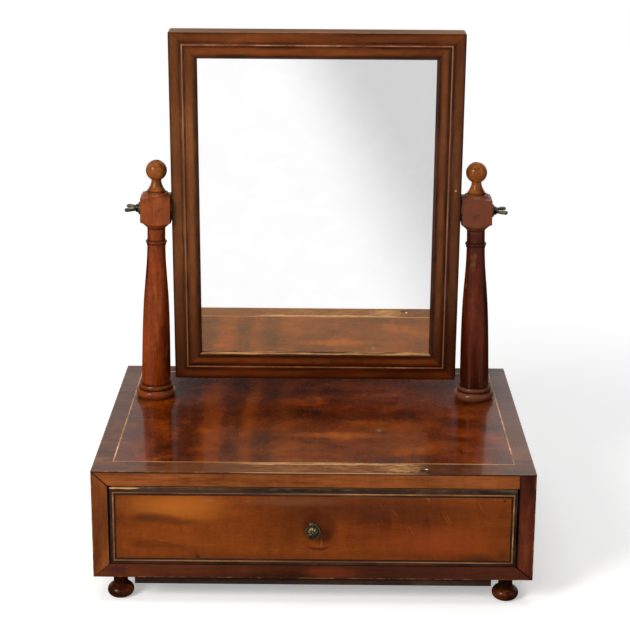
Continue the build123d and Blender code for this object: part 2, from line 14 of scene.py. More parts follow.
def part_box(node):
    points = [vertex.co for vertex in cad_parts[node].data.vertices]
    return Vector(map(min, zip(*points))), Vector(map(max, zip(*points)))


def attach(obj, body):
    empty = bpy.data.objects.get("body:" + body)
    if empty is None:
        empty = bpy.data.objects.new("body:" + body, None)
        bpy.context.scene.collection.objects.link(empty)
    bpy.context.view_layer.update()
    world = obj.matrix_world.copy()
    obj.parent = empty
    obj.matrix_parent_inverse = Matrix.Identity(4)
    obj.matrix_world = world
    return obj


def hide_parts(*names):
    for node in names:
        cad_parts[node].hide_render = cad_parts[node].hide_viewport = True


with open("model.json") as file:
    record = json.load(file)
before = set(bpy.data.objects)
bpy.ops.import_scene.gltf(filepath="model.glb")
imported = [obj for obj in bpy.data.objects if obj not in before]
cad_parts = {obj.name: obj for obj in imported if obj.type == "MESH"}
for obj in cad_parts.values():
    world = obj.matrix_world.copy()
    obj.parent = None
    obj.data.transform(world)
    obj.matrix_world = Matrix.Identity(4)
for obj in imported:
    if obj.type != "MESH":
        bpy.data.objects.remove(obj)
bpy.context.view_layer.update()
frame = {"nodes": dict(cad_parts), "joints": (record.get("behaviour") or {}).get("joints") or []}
nodes = frame["nodes"]
joints = {joint["name"]: joint for joint in frame["joints"]}

MM = 0.001


def around(*names):
    """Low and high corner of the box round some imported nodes."""
    boxes = [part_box(name) for name in names]
    low = [min(values) / MM for values in zip(*(box[0] for box in boxes))]
    high = [max(values) / MM for values in zip(*(box[1] for box in boxes))]
    return low, high


# The case, the opening that its front lippings leave, and the light string in its top.
CASE_LOW, CASE_HIGH = around("front_rail_top", "front_rail_bottom", "top_crossband", "case_back",
                             "side_veneer_left", "side_veneer_right")
LEFT_X, FRONT_Y, BASE_Z = CASE_LOW
RIGHT_X, _, TOP_Z = CASE_HIGH
OPENING_X = around("front_rail_top")[1][0]
OPENING_LOW = around("front_rail_bottom")[1][2]
OPENING_HIGH = around("front_rail_top")[0][2]
STRING_Y = around("top_string")[0][1]

# The mirror's frame, which leans forward by TILT about its pivot; its corners are those it has upright.
TILT = math.radians(3.5)
PIVOT = [value / MM for value in joints["mirror_tilt"]["pos_m"]]
FRAME_HALF = (141.5, 8.0, 177.7)
FRAME_LOW = [centre - half for centre, half in zip(PIVOT, FRAME_HALF)]
FRAME_HIGH = [centre + half for centre, half in zip(PIVOT, FRAME_HALF)]


def linear(colour):
    """Linear RGBA of an sRGB tone."""
    parts = [c / 255 for c in colour]
    return [c / 12.92 if c <= 0.04045 else ((c + 0.055) / 1.055) ** 2.4 for c in parts] + [1.0]


# ---------------------------------------------------------------- node building
class Graph:
    """Short ways to add nodes to the tree of a material or of the world."""

    def __init__(self, owner):
        owner.use_nodes = True
        self.tree = owner.node_tree
        self.tree.nodes.clear()

    def set(self, socket, value):
        """Links a socket to another one, or gives it a constant."""
        if isinstance(value, bpy.types.NodeSocket):
            self.tree.links.new(value, socket)
        else:
            socket.default_value = value

    def node(self, kind, inputs=None, output=0, **settings):
        """Adds a node with its settings and inputs, and returns one of its outputs."""
        node = self.tree.nodes.new("ShaderNode" + kind)
        for name, value in settings.items():
            setattr(node, name, value)
        for name, value in (inputs or {}).items():
            self.set(node.inputs[name], value)
        return node.outputs[output]

    def ray(self, kind):
        """One for rays of a kind: Camera, Glossy or Transmission."""
        return self.node("LightPath", output="Is " + kind + " Ray")

    def math(self, operation, a, b=0.0, c=0.0, clamp=False):
        return self.node("Math", {0: a, 1: b, 2: c}, operation=operation, use_clamp=clamp)

    def times(self, value, *factors):
        for factor in factors:
            value = self.math("MULTIPLY", value, factor)
        return value

    def span(self, value, low, high, out_low=0.0, out_high=1.0):
        """Smooth step of a value from low to high."""
        sockets = {"Value": value, "From Min": low, "From Max": high, "To Min": out_low, "To Max": out_high}
        return self.node("MapRange", sockets, interpolation_type="SMOOTHSTEP")

    def mix(self, factor, a, b, blend="MIX"):
        return self.node("Mix", {0: factor, 6: a, 7: b}, output=2, data_type="RGBA", blend_type=blend)


class Shade(Graph):
    """One material under construction, with its Principled shader ready."""

    def __init__(self, label, **constants):
        self.material = bpy.data.materials.new(label)
        super().__init__(self.material)
        self.output = self.tree.nodes.new("ShaderNodeOutputMaterial").inputs["Surface"]
        self.surface = self.tree.nodes.new("ShaderNodeBsdfPrincipled")
        self.set(self.output, self.surface.outputs[0])
        self.place = self.node("TexCoord", output="Object")
        self.mm = self.node("VectorMath", {0: self.place, "Scale": 1 / MM}, operation="SCALE")
        for name, value in constants.items():
            self.surface.inputs[name.replace("_", " ")].default_value = value

    def warp(self, scale, shift=(0, 0, 0), turn=(0, 0, 0)):
        """Object coordinates turned, then scaled per axis and shifted."""
        turned = self.node("Mapping", {"Vector": self.place, "Rotation": turn})
        return self.node("Mapping", {"Vector": turned, "Scale": scale, "Location": shift})

    def noise(self, vector, scale=1.0, detail=2.0, roughness=0.5, distortion=0.0):
        sockets = {"Vector": vector, "Scale": scale, "Detail": detail}
        sockets.update({"Roughness": roughness, "Distortion": distortion})
        return self.node("TexNoise", sockets)

    def swing(self, noise, amount):
        """A noise turned into a swing to both sides of nothing."""
        return self.times(self.math("SUBTRACT", noise, 0.5), amount)

    def ramp(self, value, tones, places=None):
        """Colour of a value from tones that follow each other, evenly unless places are given."""
        node = self.tree.nodes.new("ShaderNodeValToRGB")
        self.set(node.inputs[0], value)
        places = places or [i / (len(tones) - 1) for i in range(len(tones))]
        stops = node.color_ramp.elements
        while len(stops) < len(tones):
            stops.new(0.5)
        for stop, tone, place in zip(stops, tones, places):
            stop.position = place
            stop.color = linear(tone)
        return node.outputs[0]

    def tint(self, colour, tone, amount, *masks):
        """Lays an amount of a tone over a colour, where all the masks are one."""
        return self.mix(self.times(*masks, amount), colour, linear(tone))

    def parts(self, place=None):
        """X, Y and Z of a place in millimetres, by default of the object coordinates."""
        place = self.mm if place is None else place
        return [self.node("SeparateXYZ", {0: place}, output=name) for name in "XYZ"]

    def axis(self, name):
        return self.node("SeparateXYZ", {0: self.mm}, output=name)

    def distance(self, centre, along):
        """Distance from a point, counting each axis as much as along says."""
        off = self.node("VectorMath", {0: self.mm, 1: centre}, operation="SUBTRACT")
        off = self.node("VectorMath", {0: off, 1: along}, operation="MULTIPLY")
        return self.node("VectorMath", {0: off}, output="Value", operation="LENGTH")

    def stripe(self, value, centre, half, soft):
        """One within half of the centre, falling to nothing over soft."""
        away = self.math("ABSOLUTE", self.math("SUBTRACT", value, centre))
        return self.span(away, half, half + soft, 1.0, 0.0)

    def spot(self, centre, radii, grain, ragged=0.3, soft=0.5):
        """A blotch with an uneven edge; grain is the size of the unevenness."""
        length = self.distance(centre, [1 / radius for radius in radii])
        uneven = self.noise(self.place, scale=1 / (grain * MM), detail=4)
        length = self.math("ADD", length, self.swing(uneven, 2 * ragged))
        return self.span(length, 1 - soft, 1 + soft * 0.2, 1.0, 0.0)

    def seam(self, start, end):
        """The thin line through two points (x, z) of an upright face."""
        (x0, z0), (x1, z1) = start, end
        length = math.hypot(x1 - x0, z1 - z0)
        across = self.times(self.math("SUBTRACT", self.axis("X"), x0), (z1 - z0) / length)
        along = self.times(self.math("SUBTRACT", self.axis("Z"), z0), (x1 - x0) / length)
        return self.stripe(self.math("SUBTRACT", across, along), 0.0, 0.4, 0.5)

    def edge(self, low, high, width, place=None):
        """One at the edges of a box and nothing further than width from them."""
        near = []
        for at, start, end in zip(self.parts(place), low, high):
            after, before = self.math("SUBTRACT", at, start), self.math("SUBTRACT", end, at)
            near.append(self.math("MINIMUM", after, before))
        first = self.math("MINIMUM", near[0], near[1])
        second = self.math("MAXIMUM", near[0], near[1])
        middle = self.math("MAXIMUM", first, self.math("MINIMUM", second, near[2]))
        return self.span(middle, 0.0, width, 1.0, 0.0)

    def finish(self, colour, roughness, height, depth):
        """Connects colour, roughness and a relief of that depth to the surface."""
        sockets = {"Height": height, "Distance": depth * MM, "Strength": 1.0}
        self.set(self.surface.inputs["Base Color"], colour)
        self.set(self.surface.inputs["Roughness"], roughness)
        self.set(self.surface.inputs["Normal"], self.node("Bump", sockets))
        return self.material


# The noises change 0.09 times as fast along the grain as across it.
GRAIN_STRETCH = {"X": (0.09, 1, 1), "Y": (1, 0.09, 1), "Z": (1, 1, 0.09)}
PORE_SCALE = 2600
COAT_IOR = 1.4


def wood(name, tones, along, seed, figure=30, contrast=1.0, grain=0.5, rough=0.32, polish=0.0,
         turn=0.0, ripple=0.25, paint=None, pores=0.35, wave=0.12, ior=1.3, coat_rough=0.08, fine=1.0):
    """Polished wood: figure, streaks along the grain, cross ripple, pores, patina and worn polish.

    Along is the axis of the grain, figure the size of its blots, wave the depth of the surface's swell, and
    fine, where it is under one, shortens the streaks. Each seed takes another part of the noises. Paint adds
    a piece's own wear and figure.
    """
    shade = Shade(name, Coat_Weight=polish, Coat_Roughness=coat_rough, Coat_IOR=COAT_IOR, IOR=ior)
    stretch = [s ** fine for s in GRAIN_STRETCH[along]]
    shift = (seed * 1.37 % 7, seed * 2.11 % 7, seed * 3.73 % 7)

    def figure_noise(scales, *settings):
        return shade.noise(shade.warp(scales, shift, (turn, 0, 0)), *settings)

    blot = figure_noise([s ** 0.6 for s in stretch], 1 / (figure * MM), 3, 0.55, 0.5)
    streak = figure_noise(stretch, 700, 4, 0.6, 0.3)
    bands = figure_noise(stretch, 150, 2, 0.5, 0.4)
    cross = figure_noise([1.0 if s < 1 else 0.25 for s in stretch], 160, 2, 0.5, 0.8)
    tone = shade.math("ADD", shade.swing(blot, 2 * contrast), 0.5)
    for part, weight in ((streak, grain), (bands, 0.9 * grain), (cross, ripple)):
        tone = shade.math("ADD", tone, shade.swing(part, weight))
    colour = shade.ramp(tone, tones)
    pore = shade.span(figure_noise([PORE_SCALE * s ** 0.9 for s in stretch], 1.0, 1, 0.4), 0.60, 0.72)
    colour = shade.tint(colour, [c / 2 for c in tones[0]], pores, pore)
    patina = shade.span(shade.noise(shade.place, 11, 3, 0.6, 0.4), 0.3, 0.7, 0.80, 1.16)
    colour = shade.mix(1.0, colour, patina, "MULTIPLY")
    if paint:
        colour = paint(shade, colour)
    worn = shade.noise(shade.place, 45, 4, 0.65, 0.2)
    gloss = shade.math("ADD", shade.swing(worn, 0.22), rough)
    gloss = shade.math("ADD", gloss, shade.times(pore, 0.12), clamp=True)
    swell = shade.noise(shade.place, 38, 2, 0.5)
    height = shade.math("ADD", swell, shade.times(streak, 0.10))
    height = shade.math("SUBTRACT", height, shade.times(pore, 0.16))
    return shade.finish(colour, gloss, height, wave)


# ---------------------------------------------------------------- painted wear and figure
PAINT_DEPTH = 20
RUBBED, DARK_JOINT, CREVICE = (176, 122, 72), (24, 10, 6), (20, 7, 3)


def on_top(centre, radii):
    """Centre and radii of a blotch on the top, from their x and y."""
    return (*centre, TOP_Z), (*radii, PAINT_DEPTH)


def on_front(centre, radii):
    """Centre and radii of a blotch on the front of the case or drawer, from their x and z."""
    return (centre[0], FRONT_Y, centre[1]), (radii[0], PAINT_DEPTH, radii[1])


def case_edges(shade, colour):
    """Rubbed light arrises of the case, broken up along their length."""
    edge = shade.edge(CASE_LOW, CASE_HIGH, 1.6)
    broken = shade.span(shade.noise(shade.place, 70, 4, 0.7), 0.45, 0.62)
    return shade.tint(colour, RUBBED, 0.55, edge, broken)


# Each band has its middle (x), half width, tone and amount.
TOP_BANDS = ((-128, 10, (30, 8, 1), 0.75), (-97, 3, (138, 58, 6), 0.5), (-78, 5, (36, 13, 3), 0.75),
             (-61, 2, (140, 64, 8), 0.5), (-45, 4, (46, 20, 8), 0.6), (-30, 2, (132, 62, 8), 0.3))
# Each blotch has its centre (x, y), radii, tone and amount.
TOP_BLOTS = (((-18, -78), (44, 22), (150, 74, 12), 0.45), ((20, 0), (105, 22), (48, 18, 4), 0.6),
             ((30, -44), (70, 9), (160, 82, 14), 0.5), ((70, -22), (60, 12), (144, 72, 12), 0.4),
             ((88, -70), (60, 20), (152, 76, 14), 0.45), ((8, -54), (26, 4), (52, 22, 7), 0.6),
             ((-8, -64), (12, 4), (60, 30, 14), 0.45), ((66, -40), (9, 7), (38, 22, 14), 0.75),
             ((60, -36), (14, 3), (44, 24, 14), 0.5), ((62, -31), (3, 5), (150, 128, 104), 0.4),
             ((68, -6), (4, 3), (34, 8, 2), 0.8), ((110, -44), (5.5, 3), (36, 12, 4), 0.9),
             ((60, -100), (70, 10), (60, 32, 14), 0.5), ((-10, -106), (34, 8), (150, 80, 26), 0.35),
             ((152, -40), (12, 60), (124, 52, 12), 0.35), ((-168, -40), (8, 60), (84, 34, 16), 0.4))


def top_figure_and_sheen(shade, colour):
    """Soft dark and orange bands across the left of the panel, mottling and old spots on the right, and a
    painted grey sheen towards both ends.
    """
    sideways = shade.noise(shade.warp((1, 0.3, 1)), 28, 3, 0.55)
    x = shade.math("ADD", shade.axis("X"), shade.swing(sideways, 30))
    mottle = shade.span(shade.noise(shade.warp((1, 0.8, 1), (2, 5, 1)), 70, 4, 0.6), 0.25, 0.72, 0.3, 1.0)
    for middle, half, tone, amount in TOP_BANDS:
        colour = shade.tint(colour, tone, amount, shade.stripe(x, middle, half, 14), mottle)
    for centre, radii, tone, amount in TOP_BLOTS:
        blot = shade.spot(*on_top(centre, radii), grain=18, soft=0.95)
        colour = shade.tint(colour, tone, amount, blot, mottle)
    thread = shade.noise(shade.warp((1, 0.05, 1), (7, 2, 3)), 620, 2, 0.6)
    colour = shade.tint(colour, (28, 10, 3), 0.22, shade.span(thread, 0.5, 0.75))
    # painted grey sheen on the top towards both ends
    ends_sheen = shade.math("ABSOLUTE", shade.axis("X"))
    return shade.tint(colour, (84, 56, 42), 0.35, shade.span(ends_sheen, 150, 182))


# Two dark bruises and a bright nick: centre (x, y), radii and tone.
NAIL_MARK = (((98.5, -126.5), (4.5, 3.0), (28, 12, 6)), ((104.0, -130.0), (3.5, 1.6), (28, 12, 6)),
             ((102.0, -123.0), (1.7, 1.3), (232, 210, 182)))


def border_wear_and_shade(shade, colour):
    """The front border's rubbed strip, ragged along the string, a nail mark and the dark joint line below it,
    partly painted shadow under the top's edge.
    """
    x, y, z = shade.parts()
    flecks = shade.noise(shade.warp((0.22, 1, 1)), 360, 4, 0.7)
    worn = shade.spot(*on_top((22, -124.5), (90, 11.5)), grain=6, ragged=0.7)
    tan = shade.ramp(flecks, [(58, 30, 12), (120, 70, 30), (168, 116, 64)], [0.32, 0.5, 0.72])
    colour = shade.mix(shade.times(worn, 0.7), colour, tan)
    bare = shade.spot(*on_top((80, -122.5), (22, 9)), grain=5, ragged=0.6, soft=0.6)
    pale = shade.ramp(flecks, [(88, 52, 24), (164, 112, 62), (208, 166, 112)], [0.35, 0.52, 0.72])
    colour = shade.mix(shade.times(bare, 0.8), colour, pale)
    stretch = shade.times(shade.span(x, -75, -50), shade.span(x, 105, 80))
    ragged = shade.noise(shade.warp((0.5, 1, 1), (1, 2, 3)), 170, 3, 0.7)
    lip = shade.stripe(shade.math("ADD", y, shade.swing(ragged, 6)), STRING_Y - 2.35, 0.8, 1.2)
    colour = shade.tint(colour, (196, 152, 98), 0.8, lip, stretch)
    dark = shade.span(shade.noise(shade.warp((0.3, 1, 1), (4, 4, 4)), 90, 3, 0.6), 0.5, 0.66)
    colour = shade.tint(colour, (46, 20, 12), 0.6, dark, shade.math("SUBTRACT", 1.0, stretch))
    for centre, radii, tone in NAIL_MARK:
        mark = shade.spot(*on_top(centre, radii), grain=2, ragged=0.6)
        colour = shade.tint(colour, tone, 1.0, mark)
    arris = shade.span(y, FRONT_Y + 1.15, FRONT_Y + 0.35)
    colour = shade.tint(colour, (206, 160, 108), 0.8, arris, stretch)
    colour = case_edges(shade, colour)
    # dark joint line along the top's front edge, partly painted shadow under it
    below, before = shade.span(z, TOP_Z - 0.15, TOP_Z - 0.4), shade.span(y, FRONT_Y + 0.35, FRONT_Y + 0.05)
    return shade.tint(colour, (22, 9, 5), 0.9, below, before)


def joint_and_shadow_lines(*seams):
    """Paint function for the front lippings: rubbed edges, dark joints and a dark line under the top, partly
    painted shadow under the top's edge.
    """
    def paint(shade, colour):
        colour = case_edges(shade, colour)
        for start, end, amount in seams:
            colour = shade.tint(colour, DARK_JOINT, amount, shade.seam(start, end))
        # dark line just under the top: partly joint, partly painted shadow under the top's edge
        return shade.tint(colour, (34, 14, 7), 0.75, shade.span(shade.axis("Z"), TOP_Z - 2.3, TOP_Z - 1.1))
    return paint


# Each joint of the front lippings has two points (x, z) and an amount: three mitres and one butt joint.
TOP_LEFT = ((LEFT_X, TOP_Z), (-OPENING_X, OPENING_HIGH), 0.9)
LOW_LEFT = ((LEFT_X, BASE_Z), (-OPENING_X, OPENING_LOW), 0.35)
LOW_RIGHT = ((RIGHT_X, BASE_Z), (OPENING_X, OPENING_LOW), 0.9)
BUTT = ((OPENING_X, OPENING_HIGH), (OPENING_X, TOP_Z), 0.7)


def low_rail_paint(shade, colour):
    """The bottom rail gets darker towards the right, with a redder patch and a smudge at the left."""
    colour = shade.tint(colour, (48, 22, 18), 0.6, shade.span(shade.axis("X"), 30, 70))
    patch = shade.spot(*on_front((18, 32), (26, 6)), grain=6, ragged=0.4, soft=0.6)
    colour = shade.tint(colour, (116, 46, 20), 0.5, patch)
    smudge = shade.spot(*on_front((-176, 34), (12, 5)), grain=6, ragged=0.5, soft=0.7)
    colour = shade.tint(colour, (56, 24, 30), 0.6, smudge)
    return joint_and_shadow_lines(LOW_LEFT, LOW_RIGHT)(shade, colour)


# Each blotch has its centre (x, z), radii, tone and amount: first the broad tones, then the small marks.
PANEL_TONES = (((-128, 96), (58, 20), (186, 104, 34), 0.6), ((62, 97), (125, 20), (70, 32, 16), 0.6),
               ((115, 62), (70, 20), (140, 58, 24), 0.45))
# the fourth and ninth marks, greyish along the top edge, are painted sheen
PANEL_MARKS = (((-150, 83), (26, 4), (84, 38, 14), 0.5), ((-128, 80), (26, 3), (86, 40, 16), 0.4),
               ((-104.5, 46.5), (2.6, 3), (40, 22, 16), 0.8), ((-20, 101), (58, 5), (104, 70, 46), 0.45),
               ((-106, 50), (1.6, 5), (70, 36, 22), 0.5), ((172, 103.5), (1.8, 1.6), (26, 12, 8), 0.9),
               ((150, 46), (18, 6), (58, 30, 20), 0.6), ((172, 50), (5, 8), (56, 28, 18), 0.5),
               ((-94, 102), (8, 2), (126, 92, 70), 0.5), ((-176, 60), (4, 20), (90, 44, 16), 0.4))
# Each line has its height where it would cross the middle, its left end, tone and amount.
PANEL_LINES = ((69.5, -166, (62, 26, 10), 0.55), (43.5, -172, (56, 24, 10), 0.45))
SCAR_CENTRE = (5, FRONT_Y, 76.5)
SCAR_RADIUS = 21.5


def panel_figure_and_sheen(shade, colour):
    """The drawer panel: lighter at the top left, dark wavy lines, bruises, painted grey sheen along the top,
    and the scar below the knob.
    """
    x, _, z = shade.parts()
    for centre, radii, tone, amount in PANEL_TONES:
        broad = shade.spot(*on_front(centre, radii), grain=30, ragged=0.25, soft=0.95)
        colour = shade.tint(colour, tone, amount, broad)
    colour = shade.tint(colour, (84, 38, 14), 0.35, shade.span(z, 56, 46))
    wander = shade.noise(shade.warp((0.4, 1, 1), (5, 5, 5)), 60, 3, 0.6)
    level = shade.math("ADD", shade.math("ADD", z, shade.swing(wander, 12)), shade.times(x, 0.10))
    for height, left, tone, amount in PANEL_LINES:
        reach = shade.times(shade.span(x, left, left + 12), shade.span(x, -85, -128))
        colour = shade.tint(colour, tone, amount, shade.stripe(level, height, 0.4, 5.2), reach)
    # the small marks, two of them painted sheen along the top
    for centre, radii, tone, amount in PANEL_MARKS:
        mark = shade.spot(*on_front(centre, radii), grain=14, ragged=0.35, soft=0.9)
        colour = shade.tint(colour, tone, amount, mark)
    reach = shade.distance(SCAR_CENTRE, (1, 0, 1))
    below = shade.times(shade.span(z, 60, 56), shade.stripe(x, SCAR_CENTRE[0], 7, 4))
    colour = shade.tint(colour, (44, 20, 12), 0.6, shade.stripe(reach, SCAR_RADIUS, 0.8, 1.4), below)
    colour = shade.tint(colour, (60, 22, 8), 0.5, shade.stripe(reach, 6, 6, 6))
    rub = shade.spot(*on_front((7.5, 61), (1.2, 5)), grain=3, soft=0.7)
    colour = shade.tint(colour, (160, 84, 52), 0.5, rub)
    scratches = shade.noise(shade.warp((1, 1, 0.08), (1, 4, 2), (0, 0.5, 0)), 420, 2, 0.5)
    return shade.tint(colour, (156, 86, 46), 0.3, shade.span(scratches, 0.66, 0.74), shade.span(x, 20, 80))


def band_sheen_and_chips(shade, colour):
    """The dark band's painted grey sheen along its top and the chips that show light wood at the left."""
    # painted grey sheen along the top of the band
    grey_sheen = shade.span(shade.noise(shade.warp((0.4, 1, 1)), 160, 3, 0.6), 0.45, 0.72)
    high = shade.span(shade.axis("Z"), 111.8, 113.0, 0.15, 0.7)
    colour = shade.tint(colour, (96, 84, 74), 1.0, grey_sheen, high)
    for x, reach in ((-168, 13), (-180, 5)):
        chip = shade.spot(*on_front((x, 113.2), (reach, 1.0)), grain=3, ragged=0.6, soft=0.4)
        colour = shade.tint(colour, (206, 150, 92), 0.9, chip)
    return colour


# Painted shade in the mouldings' hollows and along their edges, and painted highlights on their rounds:
# distance in from the outer edge, half width, softness, tone and amount.
FRAME_SHADING_LINES = ((0.0, 0.5, 2.2, (26, 10, 4), 0.65), (5.5, 1.0, 3.2, (140, 76, 30), 0.2),
               (10.6, 0.3, 1.3, (26, 11, 5), 0.6), (14.4, 0.4, 1.4, (24, 10, 5), 0.75),
               (19.4, 0.8, 3.2, (156, 84, 32), 0.3), (25.4, 1.4, 2.2, (28, 11, 4), 0.7))


def frame_wear_and_shading(across, sight_highlight=False):
    """Paint function for a frame member, with its wear, painted shade and painted highlights. Across is the
    axis that runs across it, X for the stiles and Z for the rails, and the second argument adds a pale
    painted highlight on the sight edge beside the glass."""
    def paint(shade, colour):
        sockets = {"Vector": shade.mm, "Center": PIVOT, "Angle": -TILT}
        upright = shade.node("VectorRotate", sockets, rotation_type="X_AXIS")
        x, _, z = shade.parts(upright)
        middle, half = (0.0, FRAME_HALF[0]) if across == "X" else (PIVOT[2], FRAME_HALF[2])
        away = shade.math("ABSOLUTE", shade.math("SUBTRACT", x if across == "X" else z, middle))
        along = "Z" if across == "X" else "X"
        ripple = shade.noise(shade.warp(GRAIN_STRETCH[along], (3, 1, 2)), 260, 3, 0.6)
        inward = shade.math("ADD", shade.math("SUBTRACT", half, away), shade.swing(ripple, 3))
        broken = shade.span(shade.noise(shade.place, 34, 3, 0.6), 0.3, 0.65, 0.35, 1.0)
        # painted shade in the hollows and painted highlights on the rounds of the mouldings
        for depth, width, soft, tone, amount in FRAME_SHADING_LINES:
            colour = shade.tint(colour, tone, amount, shade.stripe(inward, depth, width, soft), broken)
        if across == "X":
            colour = shade.tint(colour, (44, 15, 3), 0.6, shade.span(z, 270, 160))
        # pale painted highlight along the bottom rail's sight edge, beside the glass
        if sight_highlight:
            colour = shade.tint(colour, (190, 140, 84), 0.8, shade.stripe(inward, 26.2, 0.3, 0.7), broken)
        edge = shade.edge(FRAME_LOW, FRAME_HIGH, 1.0, upright)
        rubbed = shade.span(shade.noise(shade.place, 60, 4, 0.7), 0.5, 0.66)
        colour = shade.tint(colour, (160, 112, 74), 0.35, edge, rubbed)
        # pale tint on the frame's top face: partly a rubbed top edge, partly painted sheen
        top_face_sheen = shade.span(z, FRAME_HIGH[2] - 1.2, FRAME_HIGH[2] - 0.5)
        colour = shade.tint(colour, (164, 126, 96), 0.4, top_face_sheen)
        nick = shade.spot((135.9, 53, 345.8), (0.9, PAINT_DEPTH, 1.1), grain=2, soft=0.6)
        return shade.tint(colour, (196, 168, 140), 1.0, nick)
    return paint


# Heights and half widths of the dark bands painted in the hollows, on the feet, the columns and under the
# finials; the wide first one, on the feet's necks, is painted shadow.
HOLLOWS = ((19.0, 5.5), (138.5, 0.2), (143.5, 0.2), (289.0, 0.2), (292.5, 0.2), (304.5, 0.2), (342.0, 0.2))


def turned_wear_and_shading(pale=None, amount=0.0):
    """Paint function for turned pieces: dark bands in the hollows, painted shadow on the feet's necks, dirt
    and rubbed spots. Pale is the tone of a painted sheen on a column's block and base torus."""
    def paint(shade, colour):
        z = shade.axis("Z")
        # pale painted sheen on the column's block and base torus
        if pale:
            base = shade.times(shade.span(z, 144.0, 142.5), shade.span(z, 129.0, 130.0))
            colour = shade.tint(colour, pale, amount, shade.math("ADD", shade.span(z, 300, 308), base))
        # dark bands in the hollows; the wide one on the feet's necks is painted shadow
        for height, half in HOLLOWS:
            colour = shade.tint(colour, CREVICE, 0.7, shade.stripe(z, height, half, 1.2))
        dirt = shade.span(shade.noise(shade.place, 120, 3, 0.6), 0.52, 0.7)
        colour = shade.tint(colour, (34, 12, 6), 0.35, dirt)
        rub = shade.span(shade.noise(shade.warp((1, 1, 0.5), (3, 1, 4)), 90, 4, 0.6), 0.6, 0.75)
        return shade.tint(colour, (168, 98, 52), 0.3, rub)
    return paint


def grime(tone, amount, scale=30):
    """Paint function for bare insides: uneven dirt over the wood."""
    def paint(shade, colour):
        dirt = shade.span(shade.noise(shade.place, scale, 4, 0.65), 0.4, 0.75)
        return shade.tint(colour, tone, amount, dirt)
    return paint


def metal(name, tones, scale, roughness, metallic, depth, seed):
    """Patinated cast metal: blotched tone, pitted surface, rubbed highs."""
    shade = Shade(name, Metallic=metallic)
    place = shade.warp((1, 1, 1), (seed, seed * 2, seed * 3))
    blot = shade.noise(place, scale, 4, 0.65, 0.3)
    pits = shade.noise(place, scale * 9, 3, 0.7)
    tone = shade.math("ADD", shade.times(blot, 0.75), shade.times(pits, 0.3))
    colour = shade.ramp(tone, tones, [0.34, 0.52, 0.72])
    gloss = shade.math("ADD", shade.swing(blot, 0.3), roughness)
    height = shade.math("ADD", shade.times(pits, 0.5), blot)
    return shade.finish(colour, gloss, height, depth)


def old_mirror():
    """Silvered glass, a little dusty, with faint wiping marks."""
    shade = Shade("old_mirror", Metallic=0.97)
    wipe = shade.noise(shade.warp((0.4, 1, 1), (0, 0, 0), (TILT, 0, 0.6)), 40, 4, 0.6, 0.5)
    colour = shade.ramp(wipe, [(252, 252, 252), (255, 255, 255)], [0.3, 0.7])
    gloss = shade.span(wipe, 0.3, 0.8, 0.004, 0.012)
    swell = shade.noise(shade.place, 5, 1, 0.4)
    return shade.finish(colour, gloss, swell, 0.006)


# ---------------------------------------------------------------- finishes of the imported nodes
def dress(material, *names):
    """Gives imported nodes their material."""
    for name in names:
        slots = nodes[name].data.materials
        slots.clear()
        slots.append(material)


def soften(width, *names):
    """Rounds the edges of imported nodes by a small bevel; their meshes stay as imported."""
    for name in names:
        weld = nodes[name].modifiers.new("join", "WELD")
        weld.merge_threshold = 0.004 * MM
        bevel = nodes[name].modifiers.new("arris", "BEVEL")
        bevel.width = width * MM
        bevel.segments = 2
        bevel.limit_method = "ANGLE"
        bevel.angle_limit = math.radians(40)
        bevel.harden_normals = True


TOP = [(36, 9, 0), (82, 27, 0), (110, 42, 2), (156, 71, 8)]
BORDER = [(54, 24, 10), (84, 42, 18), (106, 58, 27), (138, 82, 42)]
POLISHED = {"polish": 0.4, "ior": 1.16}
dress(wood("figured_top", TOP, "X", 1, 26, 0.8, 0.22, rough=0.26, ripple=0.5, paint=top_figure_and_sheen, wave=0.25,
           fine=0.4, **POLISHED), "top_field_veneer")
dress(wood("top_border", BORDER, "X", 2, 40, 0.7, 0.5, rough=0.3, paint=border_wear_and_shade, wave=0.2, **POLISHED),
      "top_crossband")

RAIL = [(78, 36, 12), (118, 62, 26), (140, 76, 36), (172, 104, 54)]
LOW_RAIL = [(44, 17, 8), (70, 32, 15), (86, 41, 21), (114, 53, 28)]
LEFT_STILE = [(66, 30, 12), (94, 46, 18), (110, 57, 23), (136, 76, 36)]
RIGHT_STILE = [(44, 15, 8), (66, 26, 14), (80, 34, 19), (104, 47, 26)]
FRONT = {"rough": 0.42, "ior": 1.13}
dress(wood("rail_wood_top", RAIL, "X", 3, 50, 0.8, 0.8, paint=joint_and_shadow_lines(TOP_LEFT, BUTT), **FRONT),
      "front_rail_top")
dress(wood("rail_wood_low", LOW_RAIL, "X", 4, 50, 0.9, 0.6, paint=low_rail_paint, **FRONT),
      "front_rail_bottom")
dress(wood("stile_wood_left", LEFT_STILE, "Z", 5, 30, 1.1, 0.6, paint=joint_and_shadow_lines(TOP_LEFT, LOW_LEFT),
           **FRONT), "front_stile_left")
dress(wood("stile_wood_right", RIGHT_STILE, "Z", 6, 30, 1.1, 0.6, paint=joint_and_shadow_lines(BUTT, LOW_RIGHT),
           **FRONT), "front_stile_right")
SIDE = [(60, 24, 7), (98, 43, 13), (118, 55, 19), (148, 76, 30)]
dress(wood("side_figure", SIDE, "Y", 7, 60, 1.0, 0.6, rough=0.34, polish=0.1, paint=case_edges),
      "side_veneer_left", "side_veneer_right")

